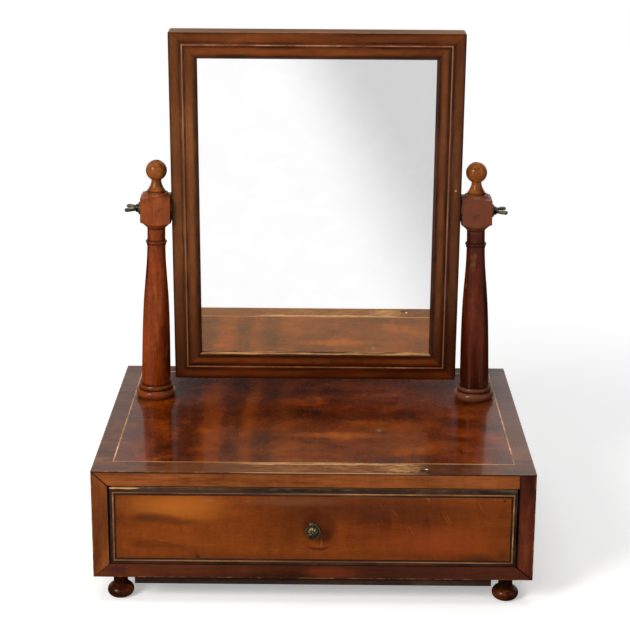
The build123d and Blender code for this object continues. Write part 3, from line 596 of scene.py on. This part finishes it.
PANEL = [(70, 27, 4), (104, 46, 9), (121, 57, 14), (156, 82, 24)]
dress(wood("drawer_figure", PANEL, "X", 8, 60, 0.9, 0.4, rough=0.38, ripple=0.4, ior=1.15,
           paint=panel_figure_and_sheen), "drawer_panel_veneer")
STRING = [(78, 44, 24), (118, 74, 43), (140, 92, 56), (176, 126, 82)]
TOP_STRING = [(116, 78, 42), (168, 122, 72), (190, 146, 92), (222, 184, 130)]
FRAME_STRING = [(84, 48, 26), (126, 76, 46), (146, 92, 60), (176, 126, 90)]
dress(wood("inlay_light", STRING, "X", 9, 25, 1.2, 0.6, rough=0.4, ior=1.2), "drawer_string")
dress(wood("inlay_top", TOP_STRING, "X", 26, 25, 1.2, 0.6, rough=0.3), "top_string")
dress(wood("inlay_frame", FRAME_STRING, "Z", 10, 25, 1.2, 0.5, rough=0.4, turn=-TILT, ior=1.2),
      "frame_string")
EBONY = [(20, 10, 6), (38, 22, 14), (54, 32, 20), (84, 56, 38)]
dress(wood("ebonised_band", EBONY, "X", 11, 30, 0.8, 0.5, rough=0.34, paint=band_sheen_and_chips, ior=1.25),
      "drawer_edge_band")
dress(wood("ebonised_line", EBONY, "X", 12, 30, 0.8, 0.5, rough=0.4, ior=1.2), "drawer_inner_line")

FRAME_TOP = [(56, 24, 8), (88, 42, 17), (106, 52, 22), (134, 74, 34)]
# The bottom rail's tones are darker than the other members': painted shade on it.
FRAME_BOTTOM_SHADED = [(36, 9, 0), (60, 18, 1), (78, 26, 3), (100, 40, 9)]
FRAME_LEFT = [(58, 30, 14), (88, 49, 25), (104, 61, 33), (130, 84, 48)]
FRAME_RIGHT = [(42, 21, 12), (68, 36, 20), (82, 46, 27), (106, 64, 38)]
for name, tones, along, across, seed in (
    ("frame_rail_top", FRAME_TOP, "X", "Z", 13), ("frame_rail_bottom", FRAME_BOTTOM_SHADED, "X", "Z", 14),
    ("frame_stile_left", FRAME_LEFT, "Z", "X", 15), ("frame_stile_right", FRAME_RIGHT, "Z", "X", 16),
):
    dress(wood(name + "_wood", tones, along, seed, 40, 0.9, 0.6, rough=0.36, turn=-TILT,
               paint=frame_wear_and_shading(across, name == "frame_rail_bottom"), ior=1.15), name)

COLUMN = [(48, 11, 0), (104, 38, 3), (130, 52, 8), (160, 78, 22)]
DARK_COLUMN = [(30, 6, 0), (70, 21, 2), (92, 32, 6), (122, 54, 18)]
FINIAL = [(76, 32, 8), (126, 64, 20), (148, 82, 30), (180, 110, 52)]
FOOT = [(26, 8, 1), (62, 24, 5), (88, 36, 8), (140, 70, 20)]
TURNED = {"rough": 0.36, "polish": 0.3, "coat_rough": 0.17, "ior": 1.14}
dress(wood("column_wood", COLUMN, "Z", 17, 26, 1.0, 0.7, paint=turned_wear_and_shading((132, 74, 38), 0.25),
           **TURNED), "column_left")
dress(wood("column_wood_right", DARK_COLUMN, "Z", 27, 26, 1.1, 0.7, paint=turned_wear_and_shading((116, 64, 40), 0.7),
           **TURNED), "column_right")
dress(wood("finial_wood", FINIAL, "Z", 18, 12, 1.0, 0.6, paint=turned_wear_and_shading(), **TURNED),
      "finial_left", "finial_right")
dress(wood("foot_wood", FOOT, "Z", 19, 14, 1.1, 0.5, paint=turned_wear_and_shading(), **TURNED),
      "foot_front_left", "foot_front_right", "foot_back_left", "foot_back_right")

PINE = [(122, 84, 48), (160, 116, 70), (176, 132, 82), (204, 164, 112)]
OAK = [(92, 66, 40), (128, 94, 58), (146, 110, 70), (178, 142, 98)]
BARE = {"rough": 0.7}
PINE_DIRT, OAK_DIRT = grime((84, 56, 34), 0.5), grime((70, 50, 32), 0.45)
dress(wood("pine_core", PINE, "X", 20, 45, 0.8, 0.9, paint=PINE_DIRT, **BARE),
      "top_board", "case_back", "case_bottom", "glue_blocks", "drawer_stops", "drawer_front")
dress(wood("pine_side", PINE, "Y", 21, 45, 0.8, 0.9, paint=PINE_DIRT, **BARE),
      "case_side_left", "case_side_right", "kicker_left", "kicker_right", "drawer_guide_left",
      "drawer_guide_right")
# The under board takes the dark ebonised tones, so that it stands in for the shadow under the case: painted
# shadow.
dress(wood("under_board_painted_shadow", EBONY, "X", 22, 45, 0.8, 0.9, **BARE), "under_board")
dress(wood("oak_side", OAK, "Y", 23, 35, 0.8, 0.9, pores=0.6, paint=OAK_DIRT, **BARE),
      "drawer_side_left", "drawer_side_right", "drawer_bottom")
dress(wood("oak_back", OAK, "X", 24, 35, 0.8, 0.9, pores=0.6, paint=OAK_DIRT, **BARE), "drawer_back")
dress(wood("mirror_back_pine", PINE, "Z", 25, 55, 0.9, 0.9, turn=-TILT,
           paint=grime((74, 50, 32), 0.6, 14), **BARE), "mirror_back_board")

BRASS = [(74, 58, 34), (140, 116, 74), (196, 170, 120)]
BRONZE = [(32, 28, 20), (76, 67, 47), (132, 121, 92)]
WING_BRASS = [(30, 25, 17), (76, 66, 50), (138, 126, 100)]
IRON = [(40, 30, 26), (74, 62, 56), (112, 100, 92)]
dress(metal("worn_brass", BRASS, 160, 0.38, 0.9, 0.06, 1), "pivot_washer_left", "pivot_washer_right",
      "pivot_plate_left", "pivot_plate_right", "pivot_plate_screws", "knob_nut")
dress(metal("old_iron", IRON, 260, 0.6, 0.75, 0.1, 2), "case_back_nails", "back_board_pins",
      "drawer_bottom_nails")
dress(old_mirror(), "mirror_glass")

soften(0.45, "front_rail_top", "front_rail_bottom", "front_stile_left", "front_stile_right")
soften(0.35, "frame_rail_top", "frame_rail_bottom", "frame_stile_left", "frame_stile_right")
soften(0.5, "drawer_front", "drawer_side_left", "drawer_side_right", "drawer_back")


# ---------------------------------------------------------------- detailed metal pieces
def mesh_object(name, vertices, faces, smooth=True):
    """A new object in the scene from vertices in metres."""
    mesh = bpy.data.meshes.new(name)
    mesh.from_pydata([vertex[:] for vertex in vertices], [], faces)
    mesh.validate()
    for face in mesh.polygons:
        face.use_smooth = smooth
    made = bpy.data.objects.new(name, mesh)
    bpy.context.scene.collection.objects.link(made)
    return made


def rings_to_faces(rings, count):
    """Quads between rings of count vertices each, which follow each other, and a cap at either end."""
    faces = []
    for ring in range(rings - 1):
        for step in range(count):
            a, b = ring * count + step, ring * count + (step + 1) % count
            faces.append((a, b, b + count, a + count))
    faces.append(tuple(reversed(range(count))))
    faces.append(tuple(range((rings - 1) * count, rings * count)))
    return faces


def round_angles(count):
    return [2 * math.pi * step / count for step in range(count)]


def lathe(profile, count, place):
    """Vertices and faces of a turned form. Profile holds (radius, height), where a height may be a function
    of radius and angle, and place maps (x, y, height) to the scene."""
    vertices = []
    for radius, height in profile:
        for angle in round_angles(count):
            level = height(radius, angle) if callable(height) else height
            vertices.append(place(radius * math.cos(angle), radius * math.sin(angle), level))
    return vertices, rings_to_faces(len(profile), count)


def joined(*forms):
    """Vertices and faces of several forms as one."""
    vertices, faces = [], []
    for form_vertices, form_faces in forms:
        start = len(vertices)
        vertices += form_vertices
        faces += [tuple(start + index for index in face) for face in form_faces]
    return vertices, faces


# The knob's rosette: a boss, a ring of petals, a groove and a beaded rim, by their outer radii.
BOSS_RADIUS, PETAL_ROOT, PETALS_RADIUS = 1.35, 1.3, 5.0
GROOVE_RADIUS, BEADS_RADIUS, KNOB_RADIUS = 5.45, 6.95, 7.3
PETALS, BEADS = 8, 26
CROWN_HEIGHT, CROWN_DROP, BOSS_RISE = 12.75, 1.7, 0.75
PETAL_RISE, PETAL_SINK, PETAL_FULLNESS = 0.75, 0.45, 0.55
GROOVE_HEIGHT, GROOVE_DEPTH = 10.75, 0.45
RIM_HEIGHT, BEAD_RISE, RIM_DROP = 10.45, 0.95, 1.2
KNOB_REACH = 13.5
KNOB_LOW, KNOB_HIGH = around("drawer_knob")
SEAT_Y = KNOB_LOW[1] + KNOB_REACH
KNOB_Z = (KNOB_LOW[2] + KNOB_HIGH[2]) / 2


def rosette_height(radius, angle):
    """Height of the knob's face over its seat."""
    if radius < PETALS_RADIUS:
        height = CROWN_HEIGHT - CROWN_DROP * (radius / PETALS_RADIUS) ** 2
        height += BOSS_RISE * math.sqrt(max(0.0, 1 - (radius / BOSS_RADIUS) ** 2))
        if radius > PETAL_ROOT:
            ring = math.sin(math.pi * (radius - PETAL_ROOT) / (PETALS_RADIUS - PETAL_ROOT))
            lobe = abs(math.cos(PETALS * angle / 2)) ** PETAL_FULLNESS
            height += ring * (PETAL_RISE * lobe - PETAL_SINK)
        return height
    if radius < GROOVE_RADIUS:
        across = (radius - PETALS_RADIUS) / (GROOVE_RADIUS - PETALS_RADIUS)
        return GROOVE_HEIGHT - GROOVE_DEPTH * math.sin(math.pi * across)
    if radius < BEADS_RADIUS:
        across = 2 * (radius - GROOVE_RADIUS) / (BEADS_RADIUS - GROOVE_RADIUS) - 1
        bead = (1 - across ** 2) * math.cos(BEADS * angle / 2) ** 2
        return RIM_HEIGHT + BEAD_RISE * math.sqrt(bead)
    return RIM_HEIGHT - RIM_DROP * ((radius - BEADS_RADIUS) / (KNOB_RADIUS - BEADS_RADIUS)) ** 2


def knob_place(x, y, z):
    return Vector((x * MM, (SEAT_Y - z) * MM, (KNOB_Z + y) * MM))


def make_knob():
    """The rosette's relief on rings close enough for it, then the rim's underside, neck, foot and shank."""
    boss = [0.02, 0.35, 0.7, 1.0, 1.2, 1.34]
    petals = [1.5 + 0.25 * i for i in range(14)] + [4.96]
    groove = [5.1, 5.22, 5.34]
    beads = [5.46, 5.6, 5.8, 6.0, 6.2, 6.4, 6.6, 6.8, 6.94]
    rim = [7.1, 7.22, KNOB_RADIUS]
    under = [(7.28, 8.9), (7.0, 8.3), (6.4, 7.9), (5.4, 7.5), (4.3, 6.9), (3.7, 6.0), (3.4, 4.8),
             (3.3, 3.8), (3.5, 2.9), (4.1, 2.2), (4.9, 1.7), (5.2, 1.35), (5.2, 0.05), (2.0, 0.0),
             (2.0, -18.0), (1.7, -18.0)]
    face = [(radius, rosette_height) for radius in boss + petals + groove + beads + rim]
    return mesh_object("rosette_knob", *lathe(face + under, BEADS * 10, knob_place))


knob = make_knob()
knob.data.materials.append(metal("dark_bronze", BRONZE, 300, 0.42, 0.85, 0.04, 3))
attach(knob, "drawer")
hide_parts("drawer_knob")


def smooth_path(points, steps):
    """Rows along a Catmull-Rom curve through the given rows, steps to each stretch."""
    rows = [points[0]] + points + [points[-1]]
    path = []
    for i in range(1, len(rows) - 2):
        for step in range(steps):
            t = step / steps
            row = []
            for a, b, c, d in zip(rows[i - 1], rows[i], rows[i + 1], rows[i + 2]):
                row.append(0.5 * (2 * b + (c - a) * t + (2 * a - 5 * b + 4 * c - d) * t * t
                                  + (3 * b - a - 3 * c + d) * t ** 3))
            path.append(row)
    path.append(points[-1])
    return path


def tube(path, count, limit, place):
    """Vertices and faces of a bar of oval section. Path holds (x, y, half width, half thickness), and no
    vertex goes past the limit in x."""
    vertices = []
    for index, (x, y, width, thick) in enumerate(path):
        before, after = path[max(index - 1, 0)], path[min(index + 1, len(path) - 1)]
        direction = Vector((after[0] - before[0], after[1] - before[1])).normalized()
        for angle in round_angles(count):
            out = width * math.cos(angle)
            vertices.append(place(y + direction.x * out, thick * math.sin(angle),
                                  min(x - direction.y * out, limit)))
    return vertices, rings_to_faces(len(path), count)


SCREW_HEAD = 15.4
HUB_TO_EARS = 4.0


def screw_profile(start, seat):
    """Shaft, collar and hub along the screw's axis, from the shaft's inner end out."""
    head = ((5.9, 0.0), (6.25, 0.2), (6.4, 0.7), (6.4, 1.6), (6.2, 2.2), (5.7, 2.6), (4.9, 2.75),
            (4.4, 3.1), (4.15, 3.8), (4.0, 4.8), (3.2, 5.5), (1.6, 5.8))
    shaft = [(0.6, start), (2.3, start + 0.4), (2.5, start + 0.9), (2.5, seat)]
    return shaft + [(radius, seat + out) for radius, out in head]


def ears_path(tip, root):
    """The cast U of both ears, from one bulging tip round the hub to the other."""
    ear = [(tip - 0.02, 9.0, 0.3, 0.3), (tip - 0.4, 8.95, 1.5, 1.2), (tip - 1.6, 8.75, 2.4, 1.85),
           (tip - 3.4, 8.4, 2.6, 1.9), (tip - 6.0, 7.6, 2.2, 1.65), (tip - 8.6, 6.6, 2.0, 1.5),
           (root + 1.4, 5.0, 2.0, 1.6), (root + 0.5, 2.6, 2.1, 1.8)]
    other = [(x, -y, width, thick) for x, y, width, thick in reversed(ear)]
    return smooth_path(ear + [(root + 0.3, 0.0, 2.2, 1.9)] + other, 5)


def make_wing_screw(side):
    """One clamping screw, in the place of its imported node."""
    low, high = around("wing_screw_" + side)
    way = 1 if side == "right" else -1
    inner, tip = sorted(way * x for x in (low[0], high[0]))
    centre_y, centre_z = (low[1] + high[1]) / 2, (low[2] + high[2]) / 2
    seat = tip - SCREW_HEAD

    def place(y, z, x):
        return Vector((way * x * MM, (centre_y + y) * MM, (centre_z + z) * MM))

    ears = tube(ears_path(tip, seat + HUB_TO_EARS), 18, tip, place)
    screw = mesh_object("winged_screw_" + side, *joined(lathe(screw_profile(inner, seat), 40, place), ears))
    edges = bmesh.new()
    edges.from_mesh(screw.data)
    bmesh.ops.recalc_face_normals(edges, faces=edges.faces)
    edges.to_mesh(screw.data)
    edges.free()
    return screw


wing_metal = metal("wing_brass", WING_BRASS, 240, 0.4, 0.85, 0.05, 4)
for side in ("left", "right"):
    screw = make_wing_screw(side)
    screw.data.materials.append(wing_metal)
    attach(screw, "wing_screw_" + side)
    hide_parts("wing_screw_" + side)


# ---------------------------------------------------------------- floor, background, light, camera
# The floor's half width, what it adds to its lit tone for the camera, and how dark reflections see it.
FLOOR_HALF = 9000
FLOOR_LIFT = 0.36
FLOOR_DARK = 0.02


def make_floor():
    """A pale floor that holds the shadow near the object and turns to plain white further off. Reflections
    see it dark near and behind the object, and white ahead of it, dimmed a little towards the right."""
    half = FLOOR_HALF * MM
    corners = [(-half, -half, 0), (half, -half, 0), (half, half, 0), (-half, half, 0)]
    floor = mesh_object("floor", corners, [(0, 1, 2, 3)], False)
    shade = Shade("pale_floor", IOR=1.2, Roughness=0.9, Specular_IOR_Level=0.0)
    colour = shade.ramp(shade.noise(shade.place, 3, 3), [(228, 228, 227), (232, 232, 231)])
    shade.set(shade.surface.inputs["Base Color"], colour)
    camera_ray, glossy = shade.ray("Camera"), shade.ray("Glossy")
    seen = shade.math("MAXIMUM", shade.math("MAXIMUM", camera_ray, glossy), shade.ray("Transmission"))
    x, y, _ = shade.parts()
    out = shade.distance((0, 0, 0), (1, 1, 0))
    aside = shade.times(shade.span(out, 400, 500), shade.span(y, -100, -200))
    ahead = shade.math("MAXIMUM", shade.span(y, -340, -400), aside)
    slant = shade.math("SUBTRACT", x, shade.times(y, 0.1425))
    dimmed = shade.math("SUBTRACT", 1.0, shade.times(shade.span(slant, 120, 315), 0.36))
    mirrored = shade.times(ahead, shade.math("SUBTRACT", dimmed, FLOOR_DARK))
    mirrored = shade.math("ADD", mirrored, FLOOR_DARK)
    level = shade.math("SUBTRACT", 1.0, shade.times(glossy, shade.math("SUBTRACT", 1.0, mirrored)))
    glow = shade.node("Emission", {"Strength": level})
    lift = shade.node("Emission", {"Strength": shade.times(camera_ray, FLOOR_LIFT)})
    near = shade.node("AddShader", {0: shade.surface.outputs[0], 1: lift})
    far = shade.math("MAXIMUM", shade.span(out, 420, 850), glossy)
    shade.set(shade.output, shade.node("MixShader", {0: shade.times(far, seen), 1: near, 2: glow}))
    floor.data.materials.append(shade.material)


def make_world():
    """Soft light from all round, on a plain light background for the camera. Reflections see it bright to
    both sides behind the object, with a low warm band in front and almost nothing elsewhere. The spans are
    parts of a ray's direction."""
    world = bpy.data.worlds.new("studio")
    bpy.context.scene.world = world
    sky = Graph(world)
    output = sky.tree.nodes.new("ShaderNodeOutputWorld")
    ray = sky.node("TexCoord", output="Generated")
    x, y, z = [sky.node("SeparateXYZ", {0: ray}, output=name) for name in "XYZ"]
    sides = sky.math("ADD", sky.span(x, 0.075, 0.125, 0.0, 1.35), sky.span(x, -0.075, -0.125, 0.0, 0.95))
    behind = sky.times(sides, sky.span(y, 0.3, 0.8))
    front = sky.times(sky.span(z, 0.26, 0.35), sky.span(z, 0.62, 0.48), sky.span(y, -0.55, -0.8))
    colour = sky.mix(front, (1.0, 1.0, 1.0, 1.0), (1.0, 0.56, 0.22, 1.0))
    strength = sky.math("ADD", sky.math("MULTIPLY_ADD", front, 1.9, behind), 0.012)
    mirrored = sky.node("Background", {"Color": colour, "Strength": strength})
    plain = sky.node("Background")
    last = sky.node("Background", {"Color": (0.97, 0.98, 1.0, 1.0), "Strength": 0.30})
    for kind, ground in (("Glossy", mirrored), ("Transmission", plain), ("Camera", plain)):
        last = sky.node("MixShader", {0: sky.ray(kind), 1: last, 2: ground})
    sky.set(output.inputs["Surface"], last)


LAMP_AIM = Vector((0, 0, 200))


def softbox(name, place, size, power, colour=(1.0, 1.0, 1.0)):
    """A rectangular lamp, with its power in watts, that looks at the middle of the object."""
    lamp = bpy.data.lights.new(name, "AREA")
    lamp.shape = "RECTANGLE"
    lamp.size, lamp.size_y = [side * MM for side in size]
    lamp.energy = power
    lamp.color = colour
    holder = bpy.data.objects.new(name, lamp)
    holder.location = Vector(place) * MM
    holder.rotation_euler = (LAMP_AIM - Vector(place)).to_track_quat("-Z", "Y").to_euler()
    bpy.context.scene.collection.objects.link(holder)


make_floor()
make_world()
softbox("key", (-1350, -1450, 1250), (700, 900), 41, (1.0, 0.98, 0.95))
softbox("fill", (1700, -1050, 950), (500, 800), 4)
softbox("overhead", (0, -100, 2100), (1400, 1200), 16)

# The photo's camera: its place, its angles in degrees, and the photo's width and shift in pixels.
IMAGE_WIDTH = 630
PHOTO_SHIFT = -95
CAMERA_PLACE = (7.6, -1447.65, 701.5)
CAMERA_DOWN, CAMERA_ASIDE, CAMERA_ROLL = 14.43, 0.33, 0.34


def turned(degrees, axis):
    return Matrix.Rotation(math.radians(degrees), 4, axis)


camera_data = bpy.data.cameras.new("camera")
camera_data.sensor_width = 36.0
camera_data.lens = 90.4
camera_data.shift_y = PHOTO_SHIFT / IMAGE_WIDTH
camera = bpy.data.objects.new("camera", camera_data)
camera.matrix_world = (Matrix.Translation([value * MM for value in CAMERA_PLACE])
                       @ turned(CAMERA_ASIDE, "Z") @ turned(90 - CAMERA_DOWN, "X") @ turned(CAMERA_ROLL, "Z"))
bpy.context.scene.collection.objects.link(camera)
bpy.context.scene.camera = camera
bpy.context.scene.view_settings.view_transform = "Standard"
